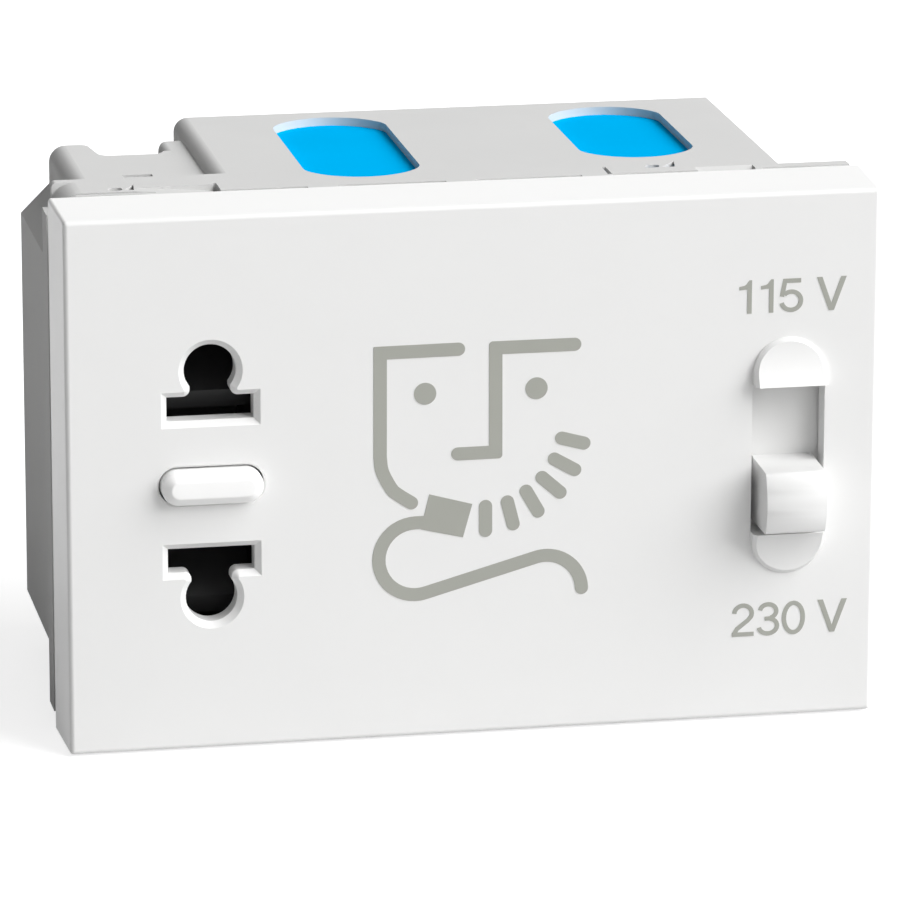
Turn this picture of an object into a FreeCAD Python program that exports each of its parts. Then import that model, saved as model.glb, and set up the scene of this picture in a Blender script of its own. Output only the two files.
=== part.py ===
import FreeCAD, Part
import Sketcher
import math
import os
import re

# Shaver socket with a safety isolating transformer, for a frame of three modules.
# Millimetres. +X right, +Z up, the front looks towards -Y.
# The origin is the centre of the plane in which the front cover's rim meets the support frame.

os.makedirs("parts", exist_ok=True)

SIZES = {
    # Front cover: outline, front wall and rim
    "plate_width": 67.5,
    "plate_height": 45.0,
    "plate_depth": 7.6,
    "plate_draft": 1.65,
    "face_round": 0.4,
    "plate_corner": 0.3,
    "neck_corner": 1.0,
    "cover_wall": 2.0,
    "fit_gap": 0.1,
    "slide_gap": 0.2,
    # Keyholes for round pins and flat blades
    "socket_margin": 11.99,
    "pin_spacing": 19.0,
    "pin_hole": 2.12,
    "blade_spacing": 12.7,
    "blade_width": 7.1,
    "blade_height": 2.0,
    "neck_width": 3.3,
    "neck_round": 0.6,
    "keyhole_bevel": 0.5,
    # Plug presence button between the keyholes
    "button_length": 8.3,
    "button_height": 2.8,
    "button_proud": 1.5,
    "button_bevel": 0.7,
    "button_gap": 0.15,
    "button_rim_bevel": 0.18,
    "button_travel": 2.0,
    "button_flange": 1.0,
    "flange_rise": 2.2,
    "stem_radius": 1.0,
    "stem_offset": 7.16,
    "stem_end": 3.2,
    # Voltage selector
    "selector_margin": 7.68,
    "window_width": 6.1,
    "window_half": 6.25,
    "lobe_top": 10.15,
    "lobe_low": 9.9,
    "lobe_proud": 1.4,
    "lobe_step": 0.42,
    "lobe_bevel": 0.3,
    "grip_width": 5.0,
    "grip_low": -5.75,
    "grip_top": -0.35,
    "grip_slope": 0.25,
    "grip_proud": 3.6,
    "grip_curve": 5.5,
    "grip_round": 0.45,
    "panel_thick": 1.2,
    "panel_width": 7.8,
    "panel_margin": 1.2,
    "rail_width": 1.0,
    "rail_half": 14.6,
    "selector_travel": 6.1,
    # Housing
    "body_wall": 1.2,
    "rim_side": 1.75,
    "rim_high": 1.9,
    "neck_front": -3.0,
    "groove": 2.6,
    "flange_thick": 1.3,
    "flange_margin": 0.25,
    "body_top_margin": 0.5,
    "body_left_margin": 0.89,
    "body_right_margin": 6.05,
    "band_end": 8.5,
    "body_back": 30.2,
    "tall_left_step": 2.69,
    "tall_round": 1.2,
    "band_round": 2.3,
    "rib_thick": 1.0,
    "rib_round": 0.4,
    "side_back": 25.7,
    "side_top_step": 1,
    "side_round": 1.4,
    "side_edge_step": 2.46,
    "slant_top": 15.33,
    "slant_low": -18.06,
    "lug_proud": 0.69,
    "lug_top_step": 1.5,
    "lug_back": 5.4,
    # Windows in the top wall over the transformer
    "pane_width": 9.75,
    "pane_left_step": 4.3,
    "pane_right_step": 6.81,
    "pane_left_front": 5.2,
    "pane_right_front": 8.2,
    "pane_back": 28.05,
    "pane_arc": 5.3,
    "pane_round": 2.6,
    # Notch in the rear edge over the supply terminals
    "notch_floor_left_step": 6.78,
    "notch_floor_right_step": 2.88,
    "notch_rear_left_step": 8.23,
    "notch_rear_right_step": 2.05,
    "notch_front": 21.1,
    "notch_floor": 17.5,
    "notch_round": 1.2,
    "shoulder_round": 0.7,
    # Snap tongues of the top and bottom walls
    "tongue_length": 12.4,
    "tongue_left_step": 0.76,
    "tongue_right_step": 14.7,
    "tongue_cut": 0.35,
    "tongue_depth": 2.6,
    "nib_depth": 0.5,
    "mark_depth": 0.9,
    "lip_thick": 0.5,
    "lip_groove": 0.7,
    # Socket carrier, shutter and contacts
    "carrier_front": 4.3,
    "carrier_plate": 1.1,
    "carrier_back": 15.0,
    "carrier_left_step": 1.86,
    "carrier_gap": 0.2,
    "chamber_half": 13.2,
    "contact_gap": 0.11,
    "chamber_wall": 0.8,
    "shutter_gap": 0.06,
    "shutter_rail": 0.95,
    "shutter_top": 12.1,
    "shutter_low": -12.3,
    "shutter_front": -2.2,
    "shutter_back": 4.1,
    "shutter_deep": 2.6,
    "rail_front": 1.2,
    "sleeve_bore": 2.05,
    "sheet": 0.5,
    "contact_front": 5.4,
    "contact_back": 14.2,
    "tail_height": 11.8,
    "tail_step": 1.5,
    "tail_width": 0.7,
    "spring_wire": 0.15,
    "button_spring": 1.35,
    "shutter_spring": 0.85,
    "shutter_spring_step": 2.38,
    "shutter_spring_y": 3.0,
    "spring_stop": -6.5,
    "lug_low": 7.5,
    "lug_high": 9.0,
    # Plug switch
    "switch_back": 11.9,
    "switch_left_step": 0.1,
    "switch_width": 3.9,
    "switch_half": 6.4,
    "plunger_radius": 0.8,
    "plunger_end": 6.4,
    # Circuit board
    "board_front": 0.5,
    "board_thick": 1.6,
    "board_left_step": 3,
    "board_gap": 0.2,
    "board_notch_step": 0.2,
    "board_notch_half": 7.4,
    # Transformer
    "core_wall": 0.7,
    "core_side_room": 2.0,
    "core_end_room": 2.3,
    "core_leg": 7.0,
    "core_stack": 15.0,
    "coil_y": 16.25,
    "bobbin_wall": 1.0,
    "bobbin_gap": 0.1,
    "bobbin_half_height": 13.8,
    "bobbin_half_depth": 12.3,
    "winding_inset": 0.4,
    "winding_round": 2.0,
    "wrap_thick": 0.3,
    "wrap_left_step": 1.6,
    "wrap_right_step": 1.7,
    "wrap_front": 4.5,
    "pin_radius": 0.35,
    "pin_pitch": 5.0,
    # Supply terminals
    "block_left_step": 1.56,
    "block_right_step": 1.83,
    "block_front": 15.0,
    "block_half": 13.0,
    "clamp_left_step": 0.8,
    "clamp_right_step": 0.8,
    "clamp_front": 17.0,
    "clamp_back": 23.5,
    "clamp_z": 7.5,
    "clamp_half": 2.6,
    "wire_step": 2.3,
    "wire_hole": 1.7,
    "screw_step": 2.2,
    "screw_head": 1.8,
    "screw_shank": 1.25,
    "screw_hole": 2.0,
    "lead_radius": 0.7,
    "lead_level": 14.4,
    "lead_start_step": 1.1,
    "lead_start_y": 17.8,
    "lead_end_step": 0.9,
    "lead_bend": 3.0,
}

# Sizes that follow from what a piece fits in
FITTED = {
    "socket_x": "-plate_width / 2 + socket_margin",
    "selector_x": "plate_width / 2 - selector_margin",
    "body_left": "-plate_width / 2 + body_left_margin",
    "body_right": "plate_width / 2 - body_right_margin",
    "flange_right": "plate_width / 2 - flange_margin",
    "body_top": "plate_height / 2 - body_top_margin",
    "side_top": "body_top - side_top_step",
    "side_edge": "body_left + side_edge_step",
    "lug_top": "body_top - lug_top_step",
    "carrier_left": "body_left + carrier_left_step",
    "block_left": "body_left + block_left_step",
    "clamp_left": "block_left + clamp_left_step",
    "wire_x": "clamp_left + wire_step",
    "tall_left": "socket_x + tall_left_step",
    "block_right": "tall_left - block_right_step",
    "clamp_right": "block_right - clamp_right_step",
    "screw_x": "clamp_right - screw_step",
    "switch_left": "chamber_right + switch_left_step",
    "switch_right": "switch_left + switch_width",
    "board_left": "switch_right - board_left_step",
    "board_notch_x": "switch_right + board_notch_step",
    "tail_x": "switch_right - tail_step",
    "lead_start_x": "screw_x - lead_start_step",
    "lead_end_x": "board_left + lead_end_step",
    "shutter_spring_x": "chamber_left - shutter_spring_step",
    "wrap_left": "core_left - wrap_left_step",
    "wrap_right": "core_right + wrap_right_step",
    "pane_left_x": "core_left + pane_left_step",
    "pane_right_x": "core_right - pane_right_step",
    "notch_floor_left": "tall_left - notch_floor_left_step",
    "notch_floor_right": "tall_left - notch_floor_right_step",
    "notch_rear_left": "tall_left - notch_rear_left_step",
    "notch_rear_right": "tall_left - notch_rear_right_step",
    "tongue_left_x": "body_left + tongue_left_step",
    "tongue_right_x": "body_right - tongue_right_step",
    "chamber_left": "socket_x - blade_width / 2 - sheet - chamber_wall - contact_gap",
    "chamber_right": "socket_x + blade_width / 2 + sheet + chamber_wall + contact_gap",
    "shutter_rail_left": "chamber_left + shutter_gap",
    "shutter_rail_right": "chamber_right - shutter_gap",
    "neck_half_width": "plate_width / 2 - rim_side",
    "neck_half_height": "plate_height / 2 - rim_high",
    "carrier_half": "neck_half_height - carrier_gap",
    "board_half": "neck_half_height - body_wall - board_gap",
    "core_height": "2 * (body_top - core_wall - wrap_thick)",
    "core_left": "switch_right + core_side_room",
    "core_right": "body_right - body_wall - core_end_room",
    "core_width": "core_right - core_left",
    "coil_x": "(core_left + core_right) / 2",
}

doc = FreeCAD.newDocument("ShaverSocket")
sheet = doc.addObject("Spreadsheet::Sheet", "Sizes")
for row, (name, size) in enumerate({**SIZES, **FITTED}.items(), start=1):
    sheet.set("A%d" % row, name)
    sheet.set("B%d" % row, "=" + str(size))
    sheet.setAlias("B%d" % row, name)
doc.recompute()

FRONT = "XZ_Plane"
SIDE = "YZ_Plane"
LEVEL = "XY_Plane"
KINDS = {"pad": "PartDesign::Pad", "pocket": "PartDesign::Pocket"}


# Sizes and expressions

def full(text):
    """Write a size expression the way the sheet's readers need it."""
    def with_sheet(word):
        name = word.group(0)
        return "Sizes." + name if name in SIZES or name in FITTED else name
    return re.sub(r"[a-z][a-z_]*", with_sheet, str(text))


def value(text):
    """The number that a size expression gives."""
    return float(sheet.evalExpression(full(text)))


def bind(piece, prop, text):
    piece.setExpression(prop, full(text))


# Sketch outlines. Each returns a function that draws it in a sketch.

def fix(made, edge, end, across, up):
    """Hold one point of an edge at its two distances from the sketch's origin."""
    for kind, text in (("DistanceX", across), ("DistanceY", up)):
        number = made.addConstraint(Sketcher.Constraint(kind, -1, 1, edge, end, value(text)))
        made.setExpression("Constraints[%d]" % number, full(text))


def arc_between(start, end, radius):
    """The short arc between two points, its centre left of the way for a positive radius."""
    chord = end - start
    half = chord.Length / 2
    height = math.sqrt(max(radius * radius - half * half, 0.0))
    left = FreeCAD.Vector(-chord.y, chord.x, 0).normalize()
    centre = (start + end) * 0.5 + left * (height if radius > 0 else -height)
    first, last = (start, end) if radius > 0 else (end, start)
    angles = [math.atan2(point.y - centre.y, point.x - centre.x) for point in (first, last)]
    if angles[1] < angles[0]:
        angles[1] += 2 * math.pi
    circle_line = Part.Circle(centre, FreeCAD.Vector(0, 0, 1), abs(radius))
    return Part.ArcOfCircle(circle_line, angles[0], angles[1])


def outline(*corners):
    """A closed outline. A corner with a third item starts an arc of that radius."""
    def draw(made):
        places = [FreeCAD.Vector(value(corner[0]), value(corner[1]), 0) for corner in corners]
        ends = []
        for number, corner in enumerate(corners):
            start = places[number]
            end = places[(number + 1) % len(corners)]
            if len(corner) == 2:
                edge = made.addGeometry(Part.LineSegment(start, end), False)
                ends.append((edge, 1, 2))
                continue
            radius = value(corner[2])
            edge = made.addGeometry(arc_between(start, end, radius), False)
            ends.append((edge, 1, 2) if radius > 0 else (edge, 2, 1))
            sign = "" if radius > 0 else "-"
            number = made.addConstraint(Sketcher.Constraint("Radius", edge, abs(radius)))
            made.setExpression("Constraints[%d]" % number, full("%s(%s)" % (sign, corner[2])))
        for number, corner in enumerate(corners):
            edge, start, _ = ends[number]
            before, _, end = ends[number - 1]
            made.addConstraint(Sketcher.Constraint("Coincident", before, end, edge, start))
            fix(made, edge, start, corner[0], corner[1])
    return draw


def rect(left, right, low, high):
    return outline((left, low), (right, low), (right, high), (left, high))


def rounded(left, right, low, high, radius):
    """A rectangle with rounded corners."""
    inner_left = "(%s) + (%s)" % (left, radius)
    inner_right = "(%s) - (%s)" % (right, radius)
    inner_low = "(%s) + (%s)" % (low, radius)
    inner_high = "(%s) - (%s)" % (high, radius)
    return outline((inner_left, low), (inner_right, low, radius),
                   (right, inner_low), (right, inner_high, radius),
                   (inner_right, high), (inner_left, high, radius),
                   (left, inner_high), (left, inner_low, radius))


def around(centre, half, middle, rise):
    """A rectangle given by its centre and half sizes."""
    return rect("(%s) - (%s)" % (centre, half), "(%s) + (%s)" % (centre, half),
                "(%s) - (%s)" % (middle, rise), "(%s) + (%s)" % (middle, rise))


def circle(across, up, radius):
    def draw(made):
        centre = FreeCAD.Vector(value(across), value(up), 0)
        edge = made.addGeometry(Part.Circle(centre, FreeCAD.Vector(0, 0, 1), value(radius)), False)
        number = made.addConstraint(Sketcher.Constraint("Radius", edge, value(radius)))
        made.setExpression("Constraints[%d]" % number, full(radius))
        fix(made, edge, 3, across, up)
    return draw


# Features of a body

def body(name):
    made = doc.addObject("PartDesign::Body", name)
    made.Label = name
    made.AllowCompound = True
    return made


def origin_part(owner, role):
    return next(part for part in owner.Origin.OriginFeatures if part.Role == role)


def sketch(owner, plane, level, *outlines):
    """A sketch parallel to one of the body's own planes, at a distance along its axis."""
    made = owner.newObject("Sketcher::SketchObject", owner.Name + "_sketch")
    made.AttachmentSupport = [(origin_part(owner, plane), "")]
    made.MapMode = "FlatFace"
    bind(made, "AttachmentOffset.Base.z", "-(%s)" % level if plane == FRONT else level)
    for draw in outlines:
        draw(made)
    return made


def extrude(owner, kind, plane, low, high, *outlines):
    """A pad or a pocket between two levels along the axis that is square to the plane."""
    profile = sketch(owner, plane, high if plane == FRONT else low, *outlines)
    feature = owner.newObject(KINDS[kind], owner.Name + "_" + kind)
    feature.Profile = profile
    feature.Reversed = kind == "pocket"
    bind(feature, "Length", "(%s) - (%s)" % (high, low))
    return feature


def pad(owner, plane, low, high, *outlines):
    return extrude(owner, "pad", plane, low, high, *outlines)


def pocket(owner, plane, low, high, *outlines):
    return extrude(owner, "pocket", plane, low, high, *outlines)


def edges_where(owner, wanted):
    """Names of the last feature's edges that meet a test."""
    doc.recompute()
    edges = enumerate(owner.Tip.Shape.Edges, start=1)
    return ["Edge%d" % number for number, edge in edges if wanted(edge)]


def fillet(owner, radius, wanted):
    names = edges_where(owner, wanted)
    feature = owner.newObject("PartDesign::Fillet", owner.Name + "_fillet")
    feature.Base = (owner.Group[-2], names)
    bind(feature, "Radius", radius)
    return feature


def lean_in(owner, angle, sides, still):
    """Drafts faces of the last feature towards the front, about a face that keeps its size."""
    doc.recompute()
    base = owner.Tip
    faces = list(enumerate(base.Shape.Faces, start=1))
    feature = owner.newObject("PartDesign::Draft", owner.Name + "_draft")
    feature.Base = (base, ["Face%d" % number for number, face in faces if sides(face)])
    feature.NeutralPlane = (base, ["Face%d" % number for number, face in faces if still(face)])
    feature.PullDirection = (origin_part(owner, "Y_Axis"), [""])
    feature.Reversed = True
    bind(feature, "Angle", angle)
    # A new draft takes up its pull direction at its second recompute
    doc.recompute()
    feature.touch()


def chamfer(owner, size, wanted):
    names = edges_where(owner, wanted)
    feature = owner.newObject("PartDesign::Chamfer", owner.Name + "_chamfer")
    feature.Base = (owner.Group[-2], names)
    bind(feature, "Size", size)
    return feature


def near(number, text, slack=0.02):
    return abs(number - value(text)) < slack


def runs_along(edge, axis):
    """True for a straight edge that runs along one axis."""
    if len(edge.Vertexes) != 2:
        return False
    start, end = [vertex.Point for vertex in edge.Vertexes]
    run = end - start
    return run.Length > 0 and abs(abs(getattr(run, axis)) - run.Length) < 1e-4


def lies_at(edge, axis, text):
    """True for an edge whose two ends and middle are at one level."""
    box = edge.BoundBox
    low, high = getattr(box, axis.upper() + "Min"), getattr(box, axis.upper() + "Max")
    return near(low, text) and near(high, text)


# Front cover and its keyholes, button opening, selector window and raised lobes

def keyhole(side):
    """The outlines of one keyhole: round pin hole, neck and blade slot."""
    pin = "%s * pin_spacing / 2" % side
    blade = "%s * blade_spacing / 2" % side
    return [
        circle("socket_x", pin, "pin_hole"),
        around("socket_x", "neck_width / 2", "(%s + %s) / 2" % (pin, blade), "(pin_spacing - blade_spacing) / 4"),
        around("socket_x", "blade_width / 2", blade, "blade_height / 2"),
    ]


def near_keyhole(edge):
    box = edge.BoundBox
    reach = value("blade_width") / 2 + 0.1
    in_width = abs(box.Center.x - value("socket_x")) < reach and box.XLength < 2 * reach
    return in_width and abs(box.Center.z) > value("blade_spacing / 2 - blade_height")


def make_cover():
    cover = body("front_cover")
    face = "-plate_depth"
    inside = "cover_wall - plate_depth"
    pad(cover, FRONT, face, "0", around("0", "plate_width / 2", "0", "plate_height / 2"))
    lean_in(cover, "plate_draft", lambda surface: near(surface.BoundBox.YLength, "plate_depth"),
            lambda surface: near(surface.BoundBox.YMin, "0"))
    fillet(cover, "face_round", lambda edge: lies_at(edge, "y", face))
    fillet(cover, "plate_corner", lambda edge: edge.BoundBox.YLength > value("plate_depth - 2 * face_round"))
    wide, tall = "neck_half_width + fit_gap", "neck_half_height + fit_gap"
    pocket(cover, FRONT, inside, "0", rounded("-(%s)" % wide, wide, "-(%s)" % tall, tall, "neck_corner"))
    # Rails that guide the selector's panel behind the front wall
    for side in (-1, 1):
        rail = "selector_x + %d * (panel_width / 2 + slide_gap + rail_width / 2)" % side
        pad(cover, FRONT, inside, "%s + slide_gap * 2 + panel_thick" % inside,
            around(rail, "rail_width / 2", "0", "rail_half"))
    # Stops above and below the button's flange
    for side in (-1, 1):
        stop = "%d * (flange_rise + slide_gap + rail_width / 2)" % side
        pad(cover, FRONT, inside, "%s + button_flange" % inside,
            around("socket_x", "button_length / 2", stop, "rail_width / 2"))
    make_lobes(cover)
    # Openings through the front wall
    for side in (-1, 1):
        for shape in keyhole(side):
            pocket(cover, FRONT, face, inside, shape)
    fillet(cover, "neck_round", lambda edge: near_keyhole(edge) and runs_along(edge, "y")
           and near(abs(edge.BoundBox.Center.x - value("socket_x")), "neck_width / 2")
           and near(abs(edge.BoundBox.Center.z), "blade_spacing / 2 + blade_height / 2"))
    chamfer(cover, "keyhole_bevel", lambda edge: near_keyhole(edge) and lies_at(edge, "y", face))
    half = "button_length / 2 + button_gap"
    rise = "button_height / 2 + button_gap"
    pocket(cover, FRONT, face, inside, rounded("socket_x - (%s)" % half, "socket_x + (%s)" % half,
                                               "-(%s)" % rise, rise, "%s - 0.02" % rise))
    chamfer(cover, "button_rim_bevel", lambda edge: lies_at(edge, "y", face)
            and abs(edge.BoundBox.Center.x - value("socket_x")) < value(half) + 0.1
            and abs(edge.BoundBox.Center.z) < value(rise) + 0.1)
    pocket(cover, FRONT, "%s - lobe_proud - 1" % face, inside,
           around("selector_x", "window_width / 2", "0", "window_half"))
    chamfer(cover, "lobe_bevel", on_lobe_rim)
    # Catches inside the rim that hold the housing's neck
    for centre in ("-14", "14"):
        for side in (-1, 1):
            catch = "%d * (neck_half_height + fit_gap - nib_depth / 2)" % side
            pad(cover, FRONT, "neck_front + 1.1", "neck_front + 1.8", around(centre, "3", catch, "nib_depth / 2"))
    return cover


def make_lobes(cover):
    """Raised half rounds above and below the window, hollowed towards their outer ends."""
    face = "-plate_depth"
    rise = "(lobe_proud - lobe_step)"
    pad(cover, FRONT, "%s - lobe_proud" % face, "%s + cover_wall" % face,
        rounded("selector_x - window_width / 2", "selector_x + window_width / 2", "-lobe_low", "lobe_top",
                "window_width / 2 - 0.02"))
    for end, reach in (("-lobe_low", "lobe_low - window_half"), ("lobe_top", "lobe_top - window_half")):
        curve = "(%s ^ 2 + (%s) ^ 2) / (2 * %s)" % (rise, reach, rise)
        pocket(cover, SIDE, "selector_x - window_width", "selector_x + window_width",
               circle("%s - lobe_step - (%s)" % (face, curve), end, curve))


def on_lobe_rim(edge):
    """True for the edges that run along a lobe's raised surface and its side walls."""
    box = edge.BoundBox
    in_front = box.YMax < value("-plate_depth - lobe_step / 2")
    return in_front and box.ZLength > 0.1 and abs(box.Center.z) > value("window_half")


# Neck frame: a snap ring between cover and housing that also carries the circuit board

def make_neck_frame():
    frame = body("neck_frame")
    wide, tall = "neck_half_width", "neck_half_height"
    pad(frame, FRONT, "neck_front", "groove",
        rounded("-%s" % wide, wide, "-%s" % tall, tall, "neck_corner"))
    # Collar inside the housing's mouth
    collar_left, collar_right = "body_left + body_wall + fit_gap", "body_right - body_wall - fit_gap"
    collar_half = "body_top - body_wall - fit_gap"
    pad(frame, FRONT, "0.6", "carrier_front",
        rect(collar_left, collar_right, "-(%s)" % collar_half, collar_half))
    board_back = "board_front + board_thick"
    pocket(frame, FRONT, "neck_front - 1", board_back,
           rounded("body_wall - neck_half_width", "neck_half_width - body_wall",
                   "body_wall - neck_half_height", "neck_half_height - body_wall", "0.5"))
    # One opening in front of the sockets, one in front of the transformer
    pocket(frame, FRONT, "board_front", "carrier_front + 1",
           rect("body_wall - neck_half_width", "board_left + 2.6",
                "body_wall - neck_half_height", "neck_half_height - body_wall"))
    pocket(frame, FRONT, "board_front", "carrier_front + 1",
           rect("board_left + 2.5", "body_right - 2.3", "-board_half + 0.9", "board_half - 0.9"))
    # Tabs that bridge the groove
    for left, right in ((-12.1, -9.6), (-0.6, 1.8), (10.8, 13.3), (25.4, 26.0)):
        for side in (-1, 1):
            ends = "%d * (neck_half_height - 0.2)" % side, "%d * body_top" % side
            pad(frame, FRONT, "0", "groove", rect(left, right, *(ends if side > 0 else ends[::-1])))
    # Recesses for the cover's catches
    for centre in ("-14", "14"):
        for side in (-1, 1):
            catch = "%d * (neck_half_height + fit_gap - nib_depth / 2)" % side
            pocket(frame, FRONT, "neck_front + 1", "neck_front + 1.9",
                   around(centre, "3.1", catch, "nib_depth / 2 + fit_gap"))
    return frame


# Housing

def side_outline(inset):
    """Outline of the side block, seen from the front, moved in by an inset."""
    left = "body_left + (%s)" % inset
    edge = "side_edge + (%s)" % inset
    top = "side_top - (%s)" % inset
    step = "(side_edge - body_left)"
    lean = "(%s) * 0.414" % inset
    inner = "tall_left + 2"
    return outline((inner, "-(%s)" % top), (inner, top),
                   ("%s + side_round" % edge, top, "side_round"), (edge, "%s - side_round" % top),
                   (edge, "slant_top + %s - %s" % (step, lean)), (left, "slant_top - %s" % lean),
                   (left, "slant_low + %s" % lean), (edge, "slant_low - %s + %s" % (step, lean)),
                   (edge, "-(%s)" % top))


def pane(middle, front):
    """Outline of a window, seen from above: straight sides and arched ends."""
    half = "pane_width / 2"
    drop = "(pane_arc - sqrt(pane_arc ^ 2 - (pane_width / 2) ^ 2))"
    left, right = "%s - %s" % (middle, half), "%s + %s" % (middle, half)
    return outline((left, "%s + %s" % (front, drop), "pane_arc"), (right, "%s + %s" % (front, drop)),
                   (right, "pane_back - %s" % drop, "pane_arc"), (left, "pane_back - %s" % drop))


def left_rounded(left, right, radius):
    """A rectangle of the housing's full height with its two left corners rounded."""
    return outline((right, "-body_top"), (right, "body_top"),
                   ("%s + %s" % (left, radius), "body_top", radius), (left, "body_top - %s" % radius),
                   (left, "%s - body_top" % radius, radius), ("%s + %s" % (left, radius), "-body_top"))


def make_housing():
    housing = body("housing")
    top = "body_top"
    flange_back = "groove + flange_thick"
    pad(housing, FRONT, "groove", flange_back, left_rounded("body_left", "flange_right", "band_round"))
    pad(housing, FRONT, "groove", "band_end - rib_thick", left_rounded("body_left", "body_right", "band_round"))
    pad(housing, FRONT, "band_end - rib_thick", "band_end",
        left_rounded("body_left + 0.36", "body_right", "rib_round"))
    pad(housing, FRONT, "groove", "body_back", left_rounded("tall_left", "body_right", "tall_round"))
    pad(housing, FRONT, "groove", "side_back", side_outline("0"))
    pad(housing, FRONT, "groove", "lug_back",
        rect("body_left - lug_proud", "body_left + 0.3", "-%s + 0.3" % top, "lug_top"))
    # Cavities: mouth, side block, tall part and room for the transformer
    wall = "body_wall"
    pocket(housing, FRONT, "groove - 1", "band_end - body_wall",
           rect("body_left + %s" % wall, "body_right - %s" % wall,
                "-%s + %s" % (top, wall), "%s - %s" % (top, wall)))
    pocket(housing, FRONT, "groove - 1", "side_back - body_wall", side_outline(wall))
    pocket(housing, FRONT, "groove - 1", "body_back - body_wall",
           rect("tall_left + %s" % wall, "body_right - %s" % wall,
                "-%s + %s" % (top, wall), "%s - %s" % (top, wall)))
    room = "core_height / 2 + wrap_thick"
    pocket(housing, FRONT, "wrap_front - 0.2", "body_back - body_wall",
           rect("wrap_left - 0.4", "wrap_right + 0.4", "-(%s)" % room, room))
    make_notch(housing)
    # Windows in the top wall
    for middle, front in (("pane_left_x", "pane_left_front"), ("pane_right_x", "pane_right_front")):
        pocket(housing, LEVEL, "body_top - body_wall - 0.5", "body_top + 1", pane(middle, front))
        left = value(middle) - value("pane_width") / 2 - 0.1
        right = value(middle) + value("pane_width") / 2 + 0.1
        fillet(housing, "pane_round", lambda edge: runs_along(edge, "z") and left < edge.BoundBox.Center.x < right
               and edge.BoundBox.ZMax > value("body_top") - 0.01 and edge.BoundBox.Center.y > value(front))
    # Rear holes for wires and clamp screws
    for side in (-1, 1):
        height = "%d * clamp_z" % side
        pocket(housing, FRONT, "side_back - body_wall - 0.5", "side_back + 1",
               circle("wire_x", height, "wire_hole"))
        pocket(housing, FRONT, "side_back - body_wall - 0.5", "side_back + 1",
               circle("screw_x", height, "screw_hole"))
    make_tongues(housing)
    return housing


def make_notch(housing):
    """A notch with leaning sides over the supply terminals, in solid walls of its own."""
    left, right = "notch_rear_left", "notch_rear_right"
    pad(housing, LEVEL, "notch_floor - body_wall", "side_top - body_wall / 2",
        rect("%s + 0.1" % left, "%s + 0.3" % right, "notch_front - body_wall", "side_back - body_wall / 2"))
    lean_left, lean_right = "notch_floor_left - 0.9", "notch_floor_right + 0.7"
    pocket(housing, LEVEL, "notch_floor", "side_top + 1",
           outline((lean_left, "notch_front + 1.0", "notch_round"), ("notch_floor_left", "notch_front"),
                   ("notch_floor_right", "notch_front", "notch_round"), (lean_right, "notch_front + 1.6"),
                   (right, "side_back + 0.5"), (left, "side_back + 0.5")))
    # Rounded shoulders: both rear corners seen from above, and the right side's top edge
    fillet(housing, "notch_round * 0.7", lambda edge: runs_along(edge, "z")
           and near(edge.BoundBox.YMax, "side_back") and edge.BoundBox.ZMax > value("side_top") - 0.01
           and value(left) - 0.3 < edge.BoundBox.Center.x < value(right) + 0.3)
    over, beside = "side_top + 0.5", "%s - 0.5" % right
    pocket(housing, FRONT, "notch_front + 1.0", "side_back + 0.5",
           outline(("%s + shoulder_round" % right, "side_top", "shoulder_round"),
                   (right, "side_top - shoulder_round"),
                   (beside, "side_top - shoulder_round"), (beside, over), ("%s + shoulder_round" % right, over)))


def band(low, high, side):
    """Two levels of the top wall, or mirrored for the bottom wall."""
    return (low, high) if side > 0 else ("-(%s)" % high, "-(%s)" % low)


def make_tongues(housing):
    """Snap tongues in the top and bottom walls: end slots, lips, slopes and grip marks."""
    for side in (-1, 1):
        for slot in ("tongue_left_x + tongue_length + 0.1", "tongue_right_x"):
            pocket(housing, LEVEL, *band("body_top - body_wall - 0.5", "body_top + 1", side),
                   rect(slot, "%s + tongue_cut" % slot, "groove - 1", "groove + tongue_depth"))
        # A thin lip along the front of the left tongue, a chamfer on the right one
        edge = "%d * body_top" % side
        pocket(housing, LEVEL, *band("body_top - lip_groove", "body_top + 1", side),
               rect("tongue_left_x - 0.2", "tongue_left_x + 7.6",
                    "groove + lip_thick", "groove + lip_thick + 0.25"))
        pocket(housing, LEVEL, *band("body_top - 0.06", "body_top + 1", side),
               rect("tongue_left_x - 0.2", "tongue_left_x + 7.6", "groove - 0.1", "groove + lip_thick + 0.1"))
        pocket(housing, SIDE, "tongue_right_x + 7.6", "tongue_right_x + 12.5",
               outline(("groove - 0.1", "%d * (body_top - 0.75)" % side),
                       ("groove + 1.3", "%s + %d * 0.06" % (edge, side)),
                       ("groove - 0.1", "%s + %d * 0.06" % (edge, side))))
        # The left tongue's top falls towards its free end
        high_end, low_end = "tongue_left_x + 5.7", "tongue_left_x + 12.5"
        fall = (high_end, edge), (low_end, edge), (low_end, "%d * (body_top - 0.5)" % side)
        pocket(housing, FRONT, "groove - 0.1", "groove + 2", outline(*(fall if side < 0 else fall[::-1])))
        # Grip marks: an oval and a triangle on each tongue
        mark = band("body_top - mark_depth", "body_top + 1", side)
        for start, level, spread in (("tongue_left_x + 3.8", "3.9", 0.75), ("tongue_right_x + 3.6", "4.3", 1.1)):
            pocket(housing, LEVEL, *mark, rounded(start, "%s + 1.2" % start, level, "%s + 0.95" % level, "0.4"))
            tip = "%s + %s" % (start, 1.35 + spread * 1.3)
            pocket(housing, LEVEL, *mark,
                   outline(("%s + 1.35" % start, "%s + 0.1" % level), ("%s + %s" % (start, 1.35 + spread), level),
                           (tip, "%s + 2.0" % level)))
    # A moulded line in the top of the side block
    pocket(housing, LEVEL, "side_top - body_wall - 0.1", "side_top + 1",
           rect("tall_left - 6.78", "tall_left - 4.28", "12.5", "13.6"))


# Socket carrier with the contact chamber, the switch wing and the shutter's guides

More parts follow.
